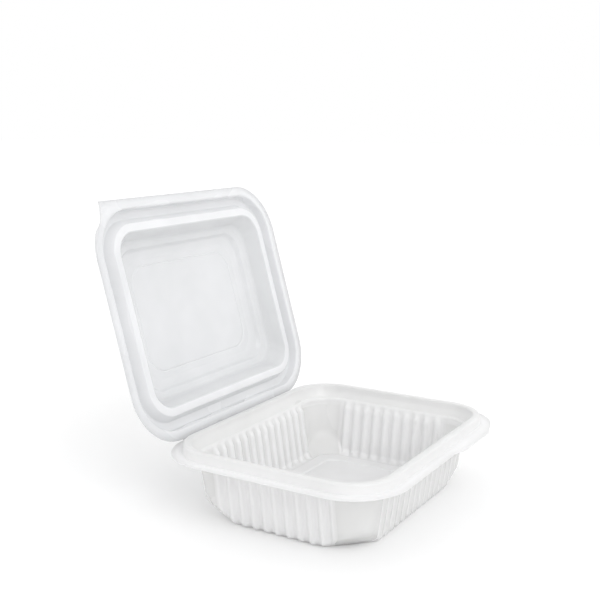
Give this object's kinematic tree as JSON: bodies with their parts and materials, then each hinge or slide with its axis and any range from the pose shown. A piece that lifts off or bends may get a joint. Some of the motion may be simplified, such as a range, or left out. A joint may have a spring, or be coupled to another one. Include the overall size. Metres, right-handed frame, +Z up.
{
  "type": "hinged plastic container",
  "caption": "Open hinged takeaway container in milky translucent plastic, with a fluted rectangular tub, nesting rims and a shallow domed lid.",
  "frame": {"origin": "on the table, under the middle of the open container's bounding box", "axes": "+X along the hinge, to the right seen from the opening side; -Y towards the opening side; +Z up"},
  "size_m": [0.15, 0.1646, 0.1506],
  "materials": {
    "tub_polypropylene": "milky translucent, satin gloss",
    "lid_polypropylene": "milky translucent, satin gloss, slightly cooler than the tub"
  },
  "bodies": {
    "tub": {"tub": "tub_polypropylene"},
    "lid": {"lid": "lid_polypropylene"}
  },
  "joints": [
    {"name": "lid_hinge", "type": "hinge", "parent": "tub", "child": "lid", "pos_m": [0, 0.0423, 0.03315], "axis": [-1, 0, 0], "range_deg": [-105.8, 74.2]}
  ]
}
